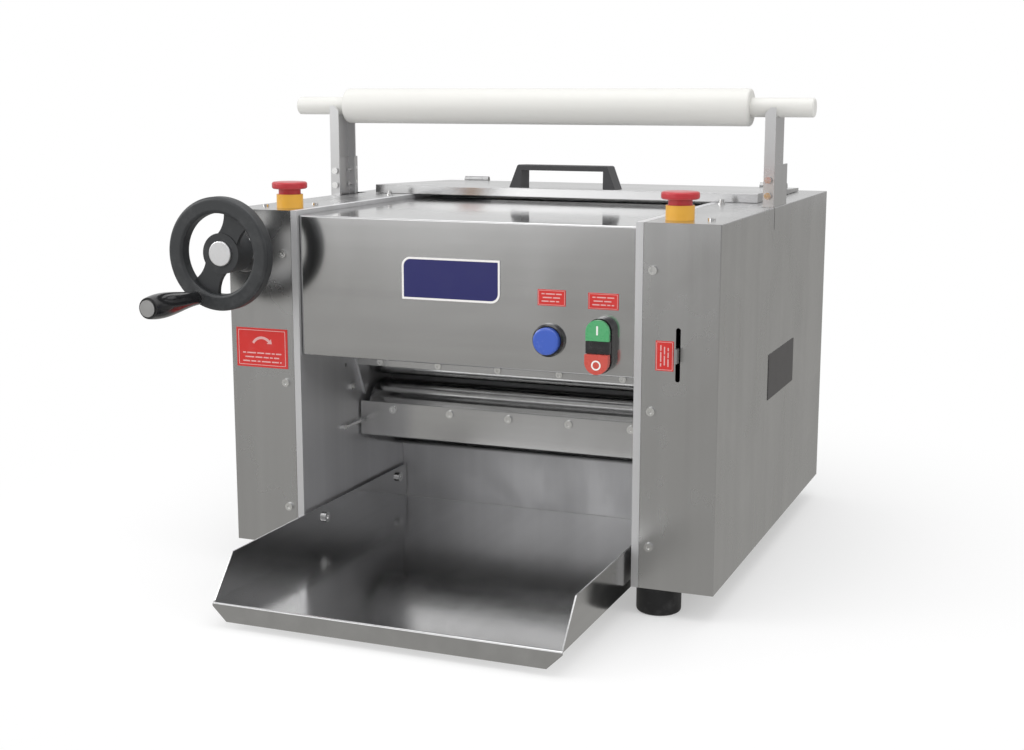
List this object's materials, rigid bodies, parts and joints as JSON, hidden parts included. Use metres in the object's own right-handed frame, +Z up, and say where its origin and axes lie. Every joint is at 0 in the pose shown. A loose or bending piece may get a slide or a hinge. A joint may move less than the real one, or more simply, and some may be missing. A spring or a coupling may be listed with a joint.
{
  "type": "bench dough sheeter",
  "caption": "Bench dough sheeter: stacked rollers in a stainless housing, handwheel gap setting, top feed hopper with hinged lid, outlet tray, rolling pin on rear uprights and push buttons.",
  "frame": {"origin": "on the bench, under the middle of the body between the side covers, half way between their front and rear faces", "axes": "+X to the right as the operator faces the machine, +Y to the rear, +Z up"},
  "size_m": [0.66, 0.774, 0.5483],
  "materials": {
    "covers": "brushed",
    "sheet": "polished",
    "rollers": "ground and polished",
    "plates": "satin",
    "machined": "machined",
    "fasteners": "satin",
    "bronze": "machined",
    "motor_paint": "satin",
    "belt": "matte",
    "foot_rubber": "matte",
    "wheel_black": "satin",
    "grip_black": "gloss",
    "cap_silver": "anodised",
    "handle_dark": "satin",
    "stop_yellow": "satin",
    "stop_red": "satin",
    "button_blue": "gloss",
    "button_green": "gloss",
    "button_red": "gloss",
    "bezel_black": "gloss",
    "housing_black": "matte",
    "badge_blue": "gloss",
    "label_red": "gloss",
    "label_grey": "satin",
    "pin_plastic": "satin"
  },
  "bodies": {
    "root": {"side_plates": "plates", "tie_rods": "machined", "base_plates": "covers", "feet": "foot_rubber", "side_cover_left": "covers", "side_cover_right": "covers", "casing_screws": "fasteners", "frame_bolts": "fasteners", "cable_gland": "housing_black", "hood": "sheet", "inner_panels": "sheet", "rear_cover": "covers", "tray": "sheet", "frame_bearings": "bronze", "slide_guides": "machined", "handwheel_boss": "machined", "scraper_pivots": "fasteners", "scraper_springs": "machined", "upper_scraper": "sheet", "side_cheeks": "plates", "drive_belt": "belt", "gearmotor": "motor_paint", "control_box": "housing_black", "lid_hinge_blocks": "machined", "uprights": "plates", "estop_collars": "stop_yellow", "contact_blocks": "housing_black", "button_bezels": "bezel_black", "badge": "badge_blue", "red_labels": "label_red", "side_label": "label_grey"},
    "handwheel": {"handwheel": "wheel_black", "handwheel_cap": "cap_silver", "handwheel_shaft": "machined"},
    "crank_grip": {"crank_grip": "grip_black"},
    "screw_nut": {"screw_nut": "bronze"},
    "cross_shaft": {"cross_shaft": "machined", "cross_shaft_pinions": "machined"},
    "carriage": {"roller_carriages": "machined"},
    "pointer": {"pointer_slider": "machined"},
    "lower_roller": {"lower_roller": "rollers", "lower_roller_wheels": "machined"},
    "upper_roller": {"upper_roller": "rollers", "upper_gear": "machined"},
    "motor_output": {"motor_output": "machined"},
    "lid": {"lid": "sheet", "lid_handle": "handle_dark", "lid_hinge_leaves": "machined"},
    "scraper": {"lower_scraper_holder": "sheet", "lower_scraper_blade": "sheet", "lower_scraper_screws": "fasteners"},
    "pin_shaft": {"pin_shaft": "rollers"},
    "pin_sleeve": {"pin_sleeve": "pin_plastic"},
    "estop_left_stem": {"estop_left_stem": "housing_black"},
    "estop_left_head": {"estop_left_head": "stop_red"},
    "estop_right_stem": {"estop_right_stem": "housing_black"},
    "estop_right_head": {"estop_right_head": "stop_red"},
    "reset_button": {"reset_button": "button_blue"},
    "start_button": {"start_button": "button_green"},
    "stop_button": {"stop_button": "button_red"}
  },
  "joints": [
    {"name": "handwheel_turn", "type": "hinge", "parent": "root", "child": "handwheel", "pos_m": [-0.262, -0.333, 0.37], "axis": [0, 1, 0], "range_deg": [-1081, 1081]},
    {"name": "crank_grip_spin", "type": "hinge", "parent": "handwheel", "child": "crank_grip", "pos_m": [-0.28915, -0.389, 0.32102], "axis": [0, 1, 0], "continuous": true},
    {"name": "screw_nut_slide", "type": "slide", "parent": "root", "child": "screw_nut", "axis": [0, 1, 0], "range_m": [-0.0091, 0.0091]},
    {"name": "cross_shaft_turn", "type": "hinge", "parent": "root", "child": "cross_shaft", "pos_m": [0, -0.11, 0.33], "axis": [1, 0, 0], "range_deg": [-28.9, 28.9]},
    {"name": "carriage_slide", "type": "slide", "parent": "root", "child": "carriage", "axis": [0, 0, 1], "range_m": [-0.006, 0.006]},
    {"name": "pointer_slide", "type": "slide", "parent": "root", "child": "pointer", "axis": [0, 0, 1], "range_m": [-0.01815, 0.01815]},
    {"name": "lower_roller_turn", "type": "hinge", "parent": "root", "child": "lower_roller", "pos_m": [0, -0.09, 0.155], "axis": [1, 0, 0], "continuous": true},
    {"name": "upper_roller_turn", "type": "hinge", "parent": "carriage", "child": "upper_roller", "pos_m": [0, -0.09, 0.2415], "axis": [1, 0, 0], "continuous": true},
    {"name": "motor_output_turn", "type": "hinge", "parent": "root", "child": "motor_output", "pos_m": [0, 0.17, 0.12], "axis": [1, 0, 0], "continuous": true},
    {"name": "lid_hinge", "type": "hinge", "parent": "root", "child": "lid", "pos_m": [0, 0.272, 0.4202], "axis": [-1, 0, 0], "range_deg": [0, 95]},
    {"name": "scraper_pivot", "type": "hinge", "parent": "root", "child": "scraper", "pos_m": [0, -0.134, 0.15], "axis": [1, 0, 0], "range_deg": [0, 10], "stiffness_Nm_per_rad": 1, "springref_deg": -11.46},
    {"name": "pin_lift", "type": "slide", "parent": "root", "child": "pin_shaft", "axis": [0, 0, 1], "range_m": [0, 0.06]},
    {"name": "pin_sleeve_spin", "type": "hinge", "parent": "pin_shaft", "child": "pin_sleeve", "pos_m": [0, -0.0165, 0.5268], "axis": [1, 0, 0], "continuous": true},
    {"name": "estop_left_push", "type": "slide", "parent": "root", "child": "estop_left_stem", "axis": [0, 0, -1], "range_m": [0, 0.004]},
    {"name": "estop_left_twist", "type": "hinge", "parent": "estop_left_stem", "child": "estop_left_head", "pos_m": [-0.2295, -0.236, 0.43], "axis": [0, 0, 1], "range_deg": [0, 45], "stiffness_Nm_per_rad": 0.05},
    {"name": "estop_right_push", "type": "slide", "parent": "root", "child": "estop_right_stem", "axis": [0, 0, -1], "range_m": [0, 0.004]},
    {"name": "estop_right_twist", "type": "hinge", "parent": "estop_right_stem", "child": "estop_right_head", "pos_m": [0.2295, -0.236, 0.43], "axis": [0, 0, 1], "range_deg": [0, 45], "stiffness_Nm_per_rad": 0.05},
    {"name": "reset_push", "type": "slide", "parent": "root", "child": "reset_button", "axis": [0, 1, 0], "range_m": [0, 0.003], "stiffness_N_per_m": 300, "springref_m": -0.002},
    {"name": "start_push", "type": "slide", "parent": "root", "child": "start_button", "axis": [0, 1, 0], "range_m": [0, 0.003], "stiffness_N_per_m": 300, "springref_m": -0.002},
    {"name": "stop_push", "type": "slide", "parent": "root", "child": "stop_button", "axis": [0, 1, 0], "range_m": [0, 0.003], "stiffness_N_per_m": 300, "springref_m": -0.002}
  ],
  "couplings": [
    {"joint": "handwheel_turn", "follows": "carriage_slide", "rad_per_m": -3141.6},
    {"joint": "screw_nut_slide", "follows": "carriage_slide", "ratio": -1.5},
    {"joint": "cross_shaft_turn", "follows": "carriage_slide", "rad_per_m": 83.333},
    {"joint": "pointer_slide", "follows": "carriage_slide", "ratio": -3},
    {"joint": "upper_roller_turn", "follows": "lower_roller_turn", "ratio": -1},
    {"joint": "motor_output_turn", "follows": "lower_roller_turn", "ratio": 1.625}
  ]
}
